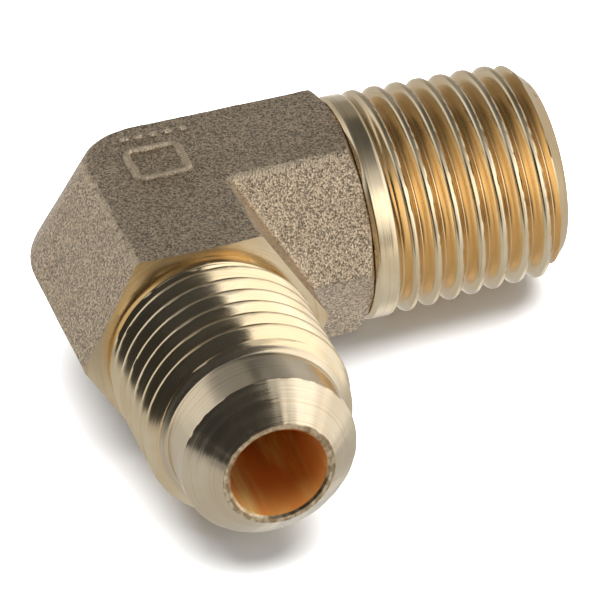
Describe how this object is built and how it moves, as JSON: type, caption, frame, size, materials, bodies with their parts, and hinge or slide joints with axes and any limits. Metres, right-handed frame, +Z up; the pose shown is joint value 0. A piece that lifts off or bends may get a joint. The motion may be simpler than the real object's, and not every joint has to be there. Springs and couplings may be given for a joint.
{
  "type": "flare fitting elbow",
  "caption": "Forged brass 90 degree elbow fitting that joins a flared tube to a tapered pipe port, with a hexagonal body, a 45 degree male flare end and a male pipe thread.",
  "frame": {"origin": "on the bottom wrench flat, straight below the crossing of the two port axes", "axes": "+Z up, square to the plane of the elbow; +X out of the pipe thread end; -Y out of the flare end"},
  "size_m": [0.0322, 0.0325, 0.0139],
  "materials": {
    "brass": "blasted forging with bright machined ends"
  },
  "bodies": {
    "root": {"flare_elbow": "brass"}
  },
  "joints": []
}
